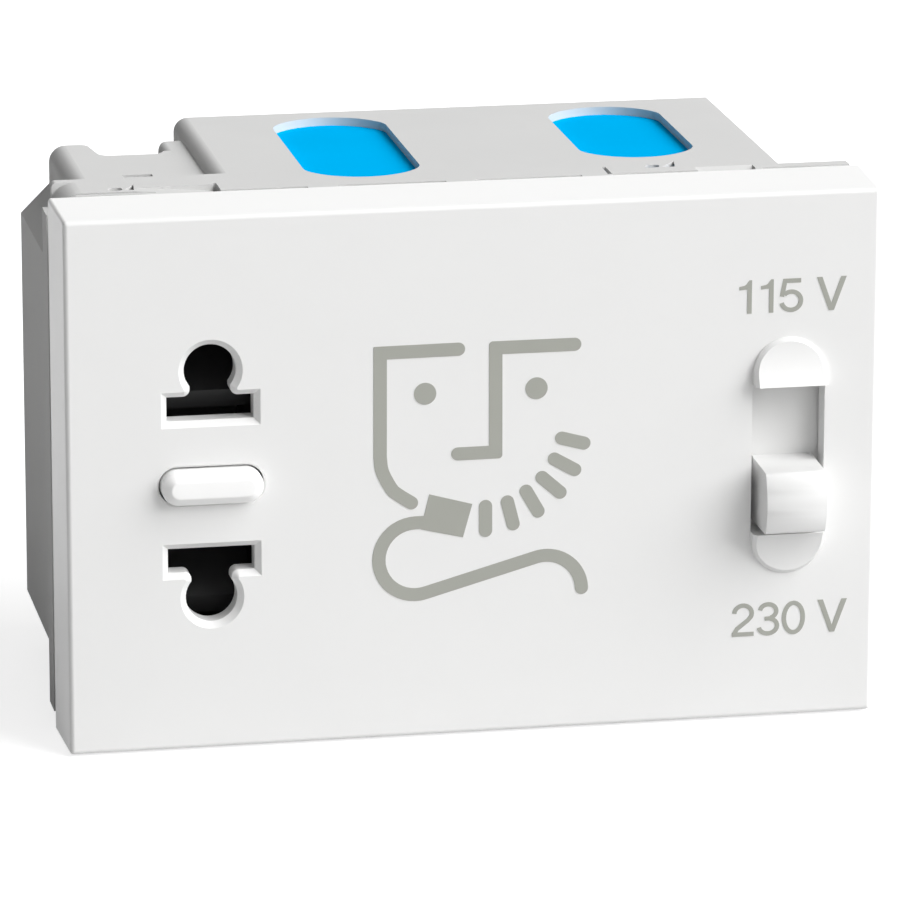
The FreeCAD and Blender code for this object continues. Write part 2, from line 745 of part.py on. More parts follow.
def make_carrier():
    carrier = body("socket_carrier")
    front, back = "carrier_front", "carrier_front + carrier_plate"
    pad(carrier, FRONT, front, back,
        rect("carrier_left", "shutter_rail_right + 0.75", "-carrier_half", "carrier_half"))
    pad(carrier, FRONT, front, "carrier_back",
        rect("chamber_left", "chamber_right", "-chamber_half", "chamber_half"))
    pocket(carrier, FRONT, back, "carrier_back + 1",
           rect("chamber_left + chamber_wall", "chamber_right - chamber_wall",
                "chamber_wall - chamber_half", "chamber_half - chamber_wall"))
    # Wing that guides the button's stem and holds the switch
    pad(carrier, FRONT, "1.5", back, rect("chamber_right + 0.2", "-12.9", "-7", "7"))
    pad(carrier, FRONT, front, back, rect("chamber_right - 0.1", "-12.9", "-7", "7"))
    pocket(carrier, FRONT, "0", "carrier_back",
           circle("socket_x + stem_offset", "0", "stem_radius + 0.08"))
    # Guides beside the shutter and the stop of its spring
    pad(carrier, FRONT, "1.4", back, rect("shutter_rail_left - 0.9", "shutter_rail_left - 0.25", "-19", "-8"))
    pad(carrier, FRONT, "1.4", back, rect("shutter_rail_right + 0.25", "shutter_rail_right + 0.75", "-19", "-8"))
    pad(carrier, FRONT, "1.4", back,
        rect("-30.4", "shutter_rail_left - 0.8", "spring_stop - 1.5", "spring_stop"))
    # Keyhole openings in the plate
    for side in (-1, 1):
        pin, blade = "%d * pin_spacing / 2" % side, "%d * blade_spacing / 2" % side
        for shape in (circle("socket_x", pin, "pin_hole + 0.2"),
                      around("socket_x", "neck_width / 2 + 0.15", "(%s + %s) / 2" % (pin, blade), "1.6"),
                      around("socket_x", "blade_width / 2 + 0.2", blade, "blade_height / 2 + 0.2")):
            pocket(carrier, FRONT, "carrier_front - 1", back, shape)
        # Slot for the contact's tail
        tail = "%d * (tail_height + sheet / 2)" % side
        pocket(carrier, FRONT, back, "contact_front + 1.8",
               around("chamber_right - chamber_wall / 2", "chamber_wall", tail, "sheet / 2 + fit_gap"))
    return carrier


def make_contact(name, side):
    """A contact with the keyhole's outline, split in front, and a tail to the circuit board."""
    contact = body(name)
    pin, blade = "%d * pin_spacing / 2" % side, "%d * blade_spacing / 2" % side
    middle = "(%s + %s) / 2" % (pin, blade)
    front, back = "carrier_front + carrier_plate", "contact_back"
    for grow, make in (("sheet", pad), ("0", pocket)):
        ends = (front, back) if make is pad else ("%s - 1" % front, "%s + 1" % back)
        for shape in (circle("socket_x", pin, "sleeve_bore + %s" % grow),
                      around("socket_x", "neck_width / 2 + 0.05 + %s" % grow, middle, "1.0"),
                      around("socket_x", "blade_width / 2 + 0.05 + %s" % grow, blade,
                             "blade_height / 2 + 0.05 + %s" % grow)):
            make(contact, FRONT, ends[0], ends[1], shape)
    tail = "%d * (tail_height + sheet / 2)" % side
    pad(contact, FRONT, front, "contact_front + 1.6",
        rect("socket_x + 0.4", "tail_x + tail_width / 2", *ordered(tail, "sheet / 2")))
    pad(contact, FRONT, "board_front - 0.2", "contact_front + 1.6",
        rect("tail_x - tail_width / 2", "tail_x + tail_width / 2", *ordered(tail, "sheet / 2")))
    return contact


def ordered(middle, half):
    return "%s - (%s)" % (middle, half), "%s + %s" % (middle, half)


# Switch behind the button, circuit board and what stands on it

def make_switch():
    case = body("switch_case")
    pad(case, FRONT, "carrier_front + carrier_plate", "switch_back",
        rect("switch_left", "switch_right", "-switch_half", "switch_half"))
    pocket(case, FRONT, "carrier_front", "plunger_end + button_travel + 0.3",
           circle("socket_x + stem_offset", "0", "plunger_radius + 0.08"))
    chamfer(case, "0.3", lambda edge: lies_at(edge, "y", "switch_back"))
    pins = body("switch_terminals")
    for height in (-4.5, 0.0, 4.5):
        pad(pins, FRONT, "switch_back", "switch_back + 2.6",
            around("(switch_left + switch_right) / 2", "0.6", height, "0.25"))
    plunger = body("switch_plunger")
    pad(plunger, FRONT, "stem_end", "plunger_end", circle("socket_x + stem_offset", "0", "plunger_radius"))
    return [case, pins, plunger]


def make_board():
    board = body("circuit_board")
    back = "board_front + board_thick"
    right = "neck_half_width - body_wall - board_gap"
    pad(board, FRONT, "board_front", back,
        outline(("board_left", "-board_half"), (right, "-board_half"), (right, "board_half"),
                ("board_left", "board_half"), ("board_left", "board_notch_half"),
                ("board_notch_x", "board_notch_half"), ("board_notch_x", "-board_notch_half"),
                ("board_left", "-board_notch_half")))
    holes = []
    for side in (-1, 1):
        tail = "%d * (tail_height + sheet / 2)" % side
        holes.append(around("tail_x", "tail_width / 2 + fit_gap", tail, "sheet / 2 + fit_gap"))
    for across in pin_columns():
        for number in (-2, -1, 1, 2):
            holes.append(circle(across, "%d * pin_pitch" % number, "pin_radius + fit_gap"))
    pocket(board, FRONT, "board_front - 1", "%s + 1" % back, *holes)
    pads = body("selector_contacts")
    for number in (-1, 0, 1):
        pad(pads, FRONT, "board_front - 3.2", "board_front",
            around("selector_x", "1.5", "%d * 5.9" % number, "1.3"))
    fillet(pads, "0.4", lambda edge: lies_at(edge, "y", "board_front - 3.2") and runs_along(edge, "x"))
    cutout = body("thermal_cutout")
    pad(cutout, FRONT, "board_front - 4", "board_front", rounded("0", "8", "8", "12", "0.6"))
    chamfer(cutout, "0.4", lambda edge: lies_at(edge, "y", "board_front - 4"))
    return [board, pads, cutout]


def pin_columns():
    inner = "coil_x - core_width / 2 + core_leg"
    return ("%s + bobbin_wall / 2" % inner, "coil_x + core_width / 2 - core_leg - bobbin_wall / 2")


# Transformer

def make_transformer():
    left = "coil_x - core_width / 2"
    right = "coil_x + core_width / 2"
    half = "core_height / 2"
    low, high = "coil_y - core_stack / 2", "coil_y + core_stack / 2"
    bars = body("core_i_stack")
    pad(bars, FRONT, low, high, rect(left, "%s + core_leg" % left, "-(%s)" % half, half))
    core = body("core_e_stack")
    pad(core, FRONT, low, high, rect("%s + core_leg" % left, right, "-(%s)" % half, half))
    for side in (-1, 1):
        pocket(core, FRONT, "%s - 1" % low, "%s + 1" % high,
               around("coil_x", "core_width / 2 - core_leg", "%d * core_height / 4" % side, "core_leg / 2"))
    bobbin = body("bobbin")
    inner_left, inner_right = "%s + core_leg" % left, "%s - core_leg" % right
    leg, depth = "core_leg + bobbin_gap", "core_stack / 2 + bobbin_gap"
    flange = [around_xz(inner_left, "%s + bobbin_wall" % inner_left),
              around_xz("coil_x - bobbin_wall / 2", "coil_x + bobbin_wall / 2"),
              around_xz("%s - bobbin_wall" % inner_right, inner_right)]
    pad(bobbin, FRONT, "coil_y - (%s) - bobbin_wall" % depth, "coil_y + %s + bobbin_wall" % depth,
        rect(inner_left, inner_right, "-(%s) - bobbin_wall" % leg, "%s + bobbin_wall" % leg))
    pad(bobbin, FRONT, "coil_y - bobbin_half_depth", "coil_y + bobbin_half_depth", *flange)
    pocket(bobbin, FRONT, "coil_y - (%s)" % depth, "coil_y + %s" % depth,
           rect("%s - 1" % inner_left, "%s + 1" % inner_right, "-(%s)" % leg, leg))
    windings = []
    for name, start, end in (("primary_winding", "%s + bobbin_wall" % inner_left, "coil_x - bobbin_wall / 2"),
                             ("secondary_winding", "coil_x + bobbin_wall / 2", "%s - bobbin_wall" % inner_right)):
        winding = body(name)
        rise, reach = "bobbin_half_height - winding_inset", "bobbin_half_depth - winding_inset"
        pad(winding, SIDE, start, end,
            rounded("coil_y - (%s)" % reach, "coil_y + %s" % reach, "-(%s)" % rise, rise, "winding_round"))
        pocket(winding, SIDE, "%s - 1" % start, "%s + 1" % end,
               rect("coil_y - (%s) - bobbin_wall" % depth, "coil_y + %s + bobbin_wall" % depth,
                    "-(%s) - bobbin_wall" % leg, "%s + bobbin_wall" % leg))
        windings.append(winding)
    pins = body("bobbin_pins")
    shapes = [circle(across, "%d * pin_pitch" % number, "pin_radius")
              for across in pin_columns() for number in (-2, -1, 1, 2)]
    pad(pins, FRONT, "board_front - 0.4", "coil_y - bobbin_half_depth", *shapes)
    wrap = body("insulation_wrap")
    outer, back = "%s + wrap_thick" % half, "coil_y + bobbin_half_depth + wrap_thick"
    pad(wrap, FRONT, "wrap_front", back, rect("wrap_left", "wrap_right", "-(%s)" % outer, outer))
    pocket(wrap, FRONT, "wrap_front - 1", "%s - wrap_thick" % back,
           rect("wrap_left - 1", "wrap_right + 1", "-(%s)" % half, half))
    return [bars, core, bobbin] + windings + [pins, wrap]


def around_xz(left, right):
    return rect(left, right, "-bobbin_half_height", "bobbin_half_height")


# Supply terminals, clamp screws and leads

def make_terminals():
    made = []
    block = body("terminal_block")
    rear = "clamp_back"
    block_back = "side_back - body_wall"
    pad(block, FRONT, "block_front", block_back,
        rect("block_left", "block_right", "-block_half", "block_half"))
    for side in (-1, 1):
        middle = "%d * clamp_z" % side
        pocket(block, FRONT, "block_front - 1", rear,
               rect("clamp_left - fit_gap", "clamp_right + fit_gap", *ordered(middle, "clamp_half + fit_gap")))
        pocket(block, FRONT, "%s - 1" % rear, "%s + 1" % block_back,
               circle("wire_x", middle, "wire_hole"), circle("screw_x", middle, "screw_hole"))
        tail = "%d * (clamp_z + clamp_half + 2.5)" % side
        pocket(block, FRONT, "block_front - 1", "clamp_front + 1.7",
               rect("-26.7", "-24.9", *ordered(tail, "2.6")))
    made.append(block)
    for name, side in (("line_clamp", 1), ("neutral_clamp", -1)):
        clamp = body(name)
        middle = "%d * clamp_z" % side
        pad(clamp, FRONT, "clamp_front", "clamp_back",
            rect("clamp_left", "clamp_right", *ordered(middle, "clamp_half")))
        tail = "%d * (clamp_z + clamp_half + 2.6)" % side
        pad(clamp, FRONT, "clamp_front", "clamp_front + 1.6", rect("-26.6", "-25.0", *ordered(tail, "2.7")))
        pocket(clamp, FRONT, "clamp_front + 1", "clamp_back + 1", circle("wire_x", middle, "wire_hole"))
        pocket(clamp, FRONT, "clamp_front - 1", "clamp_back + 1", circle("screw_x", middle, "screw_shank + 0.05"))
        made.append(clamp)
    screws = body("terminal_screws")
    for side in (-1, 1):
        middle = "%d * clamp_z" % side
        pad(screws, FRONT, "clamp_back", "clamp_back + 1.3", circle("screw_x", middle, "screw_head"))
        pad(screws, FRONT, "clamp_front + 0.6", "clamp_back + 0.1", circle("screw_x", middle, "screw_shank"))
        pocket(screws, FRONT, "clamp_back + 0.7", "clamp_back + 2",
               around("screw_x", "screw_head + 0.1", middle, "0.3"))
    made.append(screws)
    leads = body("supply_leads")
    for side in (-1, 1):
        level = "%d * lead_level" % side
        path = sketch(leads, LEVEL, level, lead_path)
        profile = sketch(leads, SIDE, "lead_start_x", circle("lead_start_y", level, "lead_radius"))
        pipe = leads.newObject("PartDesign::AdditivePipe", "supply_leads_pipe")
        pipe.Profile = profile
        pipe.Spine = (path, ["Edge1", "Edge2", "Edge3"])
    made.append(leads)
    return made


def lead_path(made):
    """Straight across, one bend, then forward to the circuit board."""
    corners = [("lead_start_x", "lead_start_y"), ("lead_end_x - lead_bend", "lead_start_y"),
               ("lead_end_x", "lead_start_y - lead_bend"), ("lead_end_x", "board_front + board_thick")]
    points = [FreeCAD.Vector(value(x), value(y), 0) for x, y in corners]
    first = made.addGeometry(Part.LineSegment(points[0], points[1]), False)
    bend = made.addGeometry(arc_between(points[1], points[2], -value("lead_bend")), False)
    last = made.addGeometry(Part.LineSegment(points[2], points[3]), False)
    made.addConstraint(Sketcher.Constraint("Coincident", first, 2, bend, 2))
    made.addConstraint(Sketcher.Constraint("Coincident", bend, 1, last, 1))
    fix(made, first, 1, *corners[0])
    fix(made, first, 2, *corners[1])
    fix(made, last, 1, *corners[2])
    fix(made, last, 2, *corners[3])
    number = made.addConstraint(Sketcher.Constraint("Radius", bend, value("lead_bend")))
    made.setExpression("Constraints[%d]" % number, full("lead_bend"))


# Moving pieces

def make_actuator():
    button = body("plug_actuator")
    inside = "cover_wall - plate_depth"
    front = "-plate_depth - button_proud"
    half, rise = "button_length / 2", "button_height / 2"
    pad(button, FRONT, front, "%s + fit_gap" % inside,
        rounded("socket_x - %s" % half, "socket_x + %s" % half, "-%s" % rise, rise, "%s - 0.02" % rise))
    chamfer(button, "button_bevel", lambda edge: lies_at(edge, "y", front))
    fillet(button, "button_bevel / 3", lambda edge: lies_at(edge, "y", "%s + button_bevel" % front)
           or lies_at(edge, "y", front))
    pad(button, FRONT, "%s + fit_gap" % inside, "%s + fit_gap + button_flange" % inside,
        rounded("socket_x - %s - 1.3" % half, "socket_x + stem_offset + 1.4",
                "-flange_rise", "flange_rise", "0.8"))
    pad(button, FRONT, "%s + 0.5" % inside, "stem_end", circle("socket_x + stem_offset", "0", "stem_radius"))
    return button


def make_shutter():
    shutter = body("shutter")
    left, right = "shutter_rail_left", "shutter_rail_right"
    for start, end in ((left, "%s + shutter_rail" % left), ("%s - shutter_rail" % right, right)):
        pad(shutter, FRONT, "rail_front", "shutter_back", rect(start, end, "shutter_low", "shutter_top"))
    # Two wedges: a plug pin pushes on the slope and so moves the shutter down
    for low, high in (("shutter_top - 7", "shutter_top"), ("shutter_low", "shutter_low + 7.2")):
        pad(shutter, SIDE, "%s + shutter_rail - 0.1" % left, "%s - shutter_rail + 0.1" % right,
            outline(("shutter_front", low), ("shutter_back", low), ("shutter_back", high),
                    ("shutter_deep", high), ("shutter_front", "%s + 1.4" % low)))
    pad(shutter, FRONT, "rail_front + 0.7", "shutter_back",
        rect("-30.2", "%s + 0.1" % left, "lug_low", "lug_high"))
    return shutter


def make_selector():
    slider = body("selector_slider")
    inside = "cover_wall - plate_depth"
    front = "%s + slide_gap" % inside
    back = "%s + panel_thick" % front
    pad(slider, FRONT, front, back,
        rect("selector_x - panel_width / 2", "selector_x + panel_width / 2",
             "-window_half - panel_margin - selector_travel", "window_half + panel_margin"))
    grip_front = "-plate_depth - grip_proud"
    # The grip: a low front that bulges, its top leaning down a little
    pad(slider, SIDE, "selector_x - grip_width / 2", "selector_x + grip_width / 2",
        outline(("%s + 0.5" % front, "grip_low"), ("%s + 0.5" % front, "grip_top"),
                ("%s + 0.8" % grip_front, "grip_top - grip_slope", "grip_curve"),
                ("%s + 0.6" % grip_front, "grip_low")))
    fillet(slider, "grip_round", lambda edge: runs_along(edge, "x")
           and near(abs(edge.BoundBox.Center.x - value("selector_x")), "0")
           and edge.BoundBox.Center.y < value("-plate_depth - 1"))
    pad(slider, FRONT, back, "%s + 0.8" % back, around("selector_x", "1.8", "-3", "2"))
    bridge = body("selector_bridge")
    pad(bridge, FRONT, "%s + 0.8" % back, "%s + 1.2" % back, around("selector_x", "1.5", "-3.05", "2.45"))
    return [slider, bridge]


# Return springs

def helix(name, axis, across, depth, start, length, radius, turns):
    """A wire spring whose axis runs along Y or Z."""
    spring = body(name)
    plane = FRONT if axis == "z" else LEVEL
    profile = sketch(spring, plane, depth)
    bind(profile, "AttachmentOffset.Base.x", across)
    flat = "spring_wire * 0.87"
    outline(("%s + spring_wire" % radius, start), ("%s + spring_wire / 2" % radius, "%s + %s" % (start, flat)),
            ("%s - spring_wire / 2" % radius, "%s + %s" % (start, flat)), ("%s - spring_wire" % radius, start),
            ("%s - spring_wire / 2" % radius, "%s - %s" % (start, flat)),
            ("%s + spring_wire / 2" % radius, "%s - %s" % (start, flat)))(profile)
    coil = spring.newObject("PartDesign::AdditiveHelix", name + "_coil")
    coil.Profile = profile
    coil.ReferenceAxis = (profile, ["V_Axis"])
    coil.Mode = 2
    bind(coil, "Height", length)
    coil.Turns = turns
    return spring


def make_springs():
    inside = "cover_wall - plate_depth"
    flange_back = "%s + fit_gap + button_flange" % inside
    button = helix("actuator_spring", "y", "socket_x + stem_offset", "0", "%s + spring_wire" % flange_back,
                   "1.5 - 2 * spring_wire - (%s)" % flange_back, "button_spring", 5)
    shutter = helix("shutter_spring", "z", "shutter_spring_x", "shutter_spring_y", "spring_stop + spring_wire",
                    "lug_low - spring_stop - 2 * spring_wire", "shutter_spring", 9)
    return [button, shutter]


def check(pieces):
    for item in doc.Objects:
        if "Invalid" in item.State or "Error" in item.State:
            raise RuntimeError("%s failed: %s" % (item.Name, item.State))
    for piece in pieces:
        if piece.Shape.isNull() or not piece.Shape.isValid() or not piece.Shape.Solids:
            raise RuntimeError("%s has no valid solid" % piece.Label)


pieces = [make_cover(), make_neck_frame(), make_housing(), make_carrier(),
          make_contact("upper_contact", 1), make_contact("lower_contact", -1)]
pieces += make_switch() + make_board() + make_transformer() + make_terminals()
pieces += [make_actuator(), make_shutter()] + make_selector() + make_springs()
doc.recompute()
check(pieces)
for piece in pieces:
    piece.Shape.exportStep("parts/%s.step" % piece.Label)
    print(piece.Label, len(piece.Shape.Solids), round(piece.Shape.Volume, 1))
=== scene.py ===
import math

import bmesh
import bpy
from mathutils import Matrix, Vector


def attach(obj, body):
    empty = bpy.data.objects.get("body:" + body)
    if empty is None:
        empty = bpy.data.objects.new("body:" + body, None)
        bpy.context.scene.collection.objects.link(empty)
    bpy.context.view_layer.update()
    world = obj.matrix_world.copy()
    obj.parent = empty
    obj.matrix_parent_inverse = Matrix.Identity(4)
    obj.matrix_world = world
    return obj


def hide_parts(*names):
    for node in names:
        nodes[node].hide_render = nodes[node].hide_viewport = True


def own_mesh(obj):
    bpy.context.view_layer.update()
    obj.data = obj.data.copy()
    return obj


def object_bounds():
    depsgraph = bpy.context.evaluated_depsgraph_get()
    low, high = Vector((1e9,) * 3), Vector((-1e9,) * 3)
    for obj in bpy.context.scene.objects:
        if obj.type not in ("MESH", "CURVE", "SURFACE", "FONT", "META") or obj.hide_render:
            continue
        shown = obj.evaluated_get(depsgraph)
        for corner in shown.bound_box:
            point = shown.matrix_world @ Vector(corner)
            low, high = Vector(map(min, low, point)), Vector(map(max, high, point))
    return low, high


# Looks of the shaver socket. Metres, in the frame of the CAD part.
# Lengths that read better in millimetres are written with MM.

MM = 0.001

# The front face of the plate, where the ink lies and at which the camera aims
FACE_Y = -7.6 * MM

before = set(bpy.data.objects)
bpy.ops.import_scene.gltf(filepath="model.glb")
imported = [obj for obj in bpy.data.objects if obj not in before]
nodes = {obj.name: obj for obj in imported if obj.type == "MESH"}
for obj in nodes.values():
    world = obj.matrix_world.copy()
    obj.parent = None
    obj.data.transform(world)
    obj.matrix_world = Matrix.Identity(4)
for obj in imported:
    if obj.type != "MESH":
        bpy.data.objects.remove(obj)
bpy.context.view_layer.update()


# Colours, as linear red, green and blue

WHITE = (0.80, 0.80, 0.795)
BRIGHT_WHITE = (0.94, 0.94, 0.935)
# The slider's white is the cover's white made 5 % darker: painted shade for its grip's front, which
# faces a little down, and for the panel behind the window
SHADED_WHITE = (0.76, 0.76, 0.755)
PALE_GREY = (0.64, 0.64, 0.635)
BLOCK_GREY = (0.16, 0.165, 0.17)
CUTOUT_GREY = (0.12, 0.12, 0.13)
CORE_GREY = (0.10, 0.10, 0.11)
BLACK = (0.02, 0.02, 0.021)
COOL_BLACK = (0.02, 0.02, 0.022)
CREAM = (0.62, 0.55, 0.40)
GREEN = (0.015, 0.12, 0.05)
BROWN = (0.09, 0.035, 0.02)
BLUE = (0.0, 0.44, 0.88)
COPPER = (0.40, 0.12, 0.04)
PALE_COPPER = (0.42, 0.13, 0.04)
BRASS = (0.70, 0.47, 0.18)
STEEL = (0.62, 0.62, 0.60)
INK_GREY = (0.365, 0.37, 0.335)


# Materials

# Most of a noise lies between these two values
NOISE_LOW = 0.3
NOISE_HIGH = 0.7

# Patches of another shade, and of another gloss, on plastic
SHADE_PATCH = 9 * MM
GLOSS_PATCH = 2.5 * MM
GLOSS_CHANGE = 0.03

# Tarnish on metal, its drawing lines, pulled out along Z, and what they do to its roughness
TARNISH_PATCH = 2 * MM
TARNISH = 0.12
LINE_PULL = 0.08
LINE_SMOOTHEST = 0.8
LINE_ROUGHEST = 1.25

# Waves in the blue sheet
SHEET_PATCH = 12 * MM
SHEET_CHANGE = 0.02
SHEET_WAVE = 8 * MM
SHEET_RISE = 0.02 * MM

# Length of one band of Blender's wave texture at scale 1
BAND_LENGTH = 0.314


def shader(name, colour, roughness):
    """A principled material and its parts."""
    made = bpy.data.materials.new(name)
    made.use_nodes = True
    tree = made.node_tree
    main = tree.nodes["Principled BSDF"]
    main.inputs["Base Color"].default_value = (*colour, 1)
    main.inputs["Roughness"].default_value = roughness
    return made, tree, main


def texture_place(tree):
    return tree.nodes.new("ShaderNodeTexCoord").outputs["Object"]


def noise(tree, place, size, detail=3.0):
    """Noise whose grains are about one size across."""
    made = tree.nodes.new("ShaderNodeTexNoise")
    made.inputs["Scale"].default_value = 1 / size
    made.inputs["Detail"].default_value = detail
    tree.links.new(place, made.inputs["Vector"])
    return made.outputs["Fac"]


def bands(tree, pitch, direction, distortion):
    """Bands across a direction, one to each pitch, and a little distorted."""
    made = tree.nodes.new("ShaderNodeTexWave")
    made.bands_direction = direction
    made.inputs["Scale"].default_value = BAND_LENGTH / pitch
    made.inputs["Distortion"].default_value = distortion
    tree.links.new(texture_place(tree), made.inputs["Vector"])
    return made.outputs["Fac"]


def spread(tree, source, low, high):
    """Brings a noise between two values."""
    made = tree.nodes.new("ShaderNodeMapRange")
    made.inputs["From Min"].default_value = NOISE_LOW
    made.inputs["From Max"].default_value = NOISE_HIGH
    made.inputs["To Min"].default_value = low
    made.inputs["To Max"].default_value = high
    tree.links.new(source, made.inputs["Value"])
    return made.outputs["Result"]


def tint(tree, main, source, colour, amount):
    """Lets the colour vary a little with a noise."""
    mix = tree.nodes.new("ShaderNodeMix")
    mix.data_type = "RGBA"
    darker = [part * (1 - amount) for part in colour]
    lighter = [min(1.0, part * (1 + amount)) for part in colour]
    mix.inputs["A"].default_value = (*darker, 1)
    mix.inputs["B"].default_value = (*lighter, 1)
    tree.links.new(source, mix.inputs["Factor"])
    tree.links.new(mix.outputs["Result"], main.inputs["Base Color"])


def bump(tree, main, source, height):
    """Relief of one height, from a noise or bands."""
    made = tree.nodes.new("ShaderNodeBump")
    made.inputs["Distance"].default_value = height
    made.inputs["Strength"].default_value = 1.0
    tree.links.new(source, made.inputs["Height"])
    tree.links.new(made.outputs["Normal"], main.inputs["Normal"])


def plastic(name, colour, roughness, grain, height, change=0.012, specular=0.5):
    """Moulded plastic: fine grain, soft change of shade, slightly uneven gloss."""
    made, tree, main = shader(name, colour, roughness)
    place = texture_place(tree)
    shade = spread(tree, noise(tree, place, SHADE_PATCH), 0, 1)
    tint(tree, main, shade, colour, change)
    gloss = noise(tree, place, GLOSS_PATCH)
    gloss = spread(tree, gloss, roughness * (1 - GLOSS_CHANGE), roughness * (1 + GLOSS_CHANGE))
    tree.links.new(gloss, main.inputs["Roughness"])
    main.inputs["Specular IOR Level"].default_value = specular
    bump(tree, main, noise(tree, place, grain, detail=2.0), height)
    return made


def metal(name, colour, roughness, grain, height):
    """Metal with faint drawing lines and a little tarnish."""
    made, tree, main = shader(name, colour, roughness)
    main.inputs["Metallic"].default_value = 1.0
    place = texture_place(tree)
    tint(tree, main, spread(tree, noise(tree, place, TARNISH_PATCH), 0, 1), colour, TARNISH)
    pull = tree.nodes.new("ShaderNodeMapping")
    pull.inputs["Scale"].default_value = (1, 1, LINE_PULL)
    tree.links.new(place, pull.inputs["Vector"])
    lines = noise(tree, pull.outputs["Vector"], grain)
    gloss = spread(tree, lines, roughness * LINE_SMOOTHEST, roughness * LINE_ROUGHEST)
    tree.links.new(gloss, main.inputs["Roughness"])
    bump(tree, main, lines, height)
    return made


def film(name, colour, roughness):
    """Smooth coloured sheet with soft waves."""
    made, tree, main = shader(name, colour, roughness)
    main.inputs["Specular IOR Level"].default_value = 0.0
    place = texture_place(tree)
    tint(tree, main, spread(tree, noise(tree, place, SHEET_PATCH), 0, 1), colour, SHEET_CHANGE)
    bump(tree, main, noise(tree, place, SHEET_WAVE, detail=1.0), SHEET_RISE)
    return made


def stacked(name, colour, pitch):
    """Edges of sheets that are stacked along Y."""
    made, tree, main = shader(name, colour, roughness=0.45)
    main.inputs["Metallic"].default_value = 0.8
    edges = bands(tree, pitch, "Y", distortion=0.3)
    tint(tree, main, edges, colour, amount=0.25)
    bump(tree, main, edges, height=0.04 * MM)
    return made


def wound(name, colour, pitch):
    """Turns of enamelled wire that lie side by side along X."""
    made, tree, main = shader(name, colour, roughness=0.3)
    main.inputs["Coat Weight"].default_value = 0.5
    turns = bands(tree, pitch, "X", distortion=0.4)
    tint(tree, main, turns, colour, amount=0.3)
    bump(tree, main, turns, height=0.08 * MM)
    return made


# Glossy for the white pieces in front, dull for the grey ones behind
GLOSSY = {"roughness": 0.3, "grain": 0.35 * MM, "height": 0.0015 * MM, "change": 0.004}
DULL = {"roughness": 0.65, "grain": 0.3 * MM, "height": 0.008 * MM, "specular": 0.05}

# After its colour, each other plastic has its roughness, then the size and height of its grain
looks = {
    "front_cover": plastic("white_cover", WHITE, **GLOSSY),
    "plug_actuator": plastic("white_button", BRIGHT_WHITE, **GLOSSY),
    # The slider's darker white is painted shade on its grip and panel
    "selector_slider": plastic("white_slider", SHADED_WHITE, **GLOSSY),
    "neck_frame": plastic("grey_frame", PALE_GREY, **DULL),
    "housing": plastic("grey_housing", PALE_GREY, **DULL),
    "socket_carrier": plastic("black_carrier", BLACK, 0.5, 0.3 * MM, 0.006 * MM),
    "shutter": plastic("black_shutter", BLACK, 0.4, 0.3 * MM, 0.004 * MM),
    "switch_case": plastic("black_switch", COOL_BLACK, 0.45, 0.3 * MM, 0.004 * MM),
    "switch_plunger": plastic("white_plunger", WHITE, 0.4, 0.3 * MM, 0.002 * MM),
    "thermal_cutout": plastic("grey_cutout", CUTOUT_GREY, 0.5, 0.3 * MM, 0.006 * MM),
    "bobbin": plastic("cream_bobbin", CREAM, 0.5, 0.4 * MM, 0.008 * MM),
    "terminal_block": plastic("grey_block", BLOCK_GREY, 0.5, 0.3 * MM, 0.008 * MM),
    "circuit_board": plastic("green_board", GREEN, 0.35, 0.6 * MM, 0.006 * MM, change=0.08),
    "supply_leads": plastic("brown_leads", BROWN, 0.45, 0.5 * MM, 0.006 * MM),
    "insulation_wrap": film("blue_wrap", BLUE, roughness=0.4),
    "core_i_stack": stacked("core_bar", CORE_GREY, pitch=0.5 * MM),
    "core_e_stack": stacked("core_e", CORE_GREY, pitch=0.5 * MM),
    "primary_winding": wound("primary_wire", COPPER, pitch=0.3 * MM),
    "secondary_winding": wound("secondary_wire", PALE_COPPER, pitch=0.4 * MM),
}
brass_nodes = ("upper_contact", "lower_contact", "selector_contacts",
               "selector_bridge", "line_clamp", "neutral_clamp")
steel_nodes = ("switch_terminals", "bobbin_pins", "terminal_screws",
               "actuator_spring", "shutter_spring")
for name in brass_nodes:
    looks[name] = metal("brass_" + name, BRASS, 0.28, 0.15 * MM, 0.004 * MM)
for name in steel_nodes:
    looks[name] = metal("steel_" + name, STEEL, 0.3, 0.12 * MM, 0.004 * MM)

for name, thing in nodes.items():
    thing.data.materials.clear()
    thing.data.materials.append(looks[name])
    for face in thing.data.polygons:
        face.use_smooth = True


# Edges of the two moulded pieces that fingers and plugs touch

SLIDER_EDGE = 0.3 * MM
BUTTON_EDGE = 0.12 * MM
WELD_REACH = 0.001 * MM
SHARP_EDGE = math.radians(35)


def soften(thing, width):
    """Joins the facets and makes the sharp edges a little round."""
    thing.data.normals_split_custom_set([(0, 0, 0)] * len(thing.data.loops))
    weld = thing.modifiers.new("weld", "WELD")
    weld.merge_threshold = WELD_REACH
    bevel = thing.modifiers.new("soft_edges", "BEVEL")
    bevel.width = width
    bevel.segments = 3
    bevel.limit_method = "ANGLE"
    bevel.angle_limit = SHARP_EDGE
    bevel.harden_normals = True


soften(nodes["selector_slider"], SLIDER_EDGE)
soften(nodes["plug_actuator"], BUTTON_EDGE)


# Return springs, each copied into an object of its own in place of its CAD node


def springing(name):
    """A copy of the spring on the base, in place of the CAD node, which is hidden."""
    node = nodes[name]
    coil = bpy.data.objects.new(name + "_coil", node.data.copy())
    bpy.context.scene.collection.objects.link(coil)
    coil.matrix_world = node.matrix_world.copy()
    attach(coil, "base")
    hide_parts(name)
    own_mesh(coil)


bpy.context.view_layer.update()
springing("actuator_spring")
springing("shutter_spring")


# Lines, drawn in millimetres of X and Z. A line becomes pairs of points at its two sides.

# Points that are nearer than this are one point
SAME_POINT = 1e-4

# Cosine between two stretches of a line, below which their turn is a corner
CORNER_TURN = 0.5
CORNER_STEPS = 6
CAP_STEPS = 7

# At a turn a line gets at most this many times as wide
WIDEST_TURN = 2


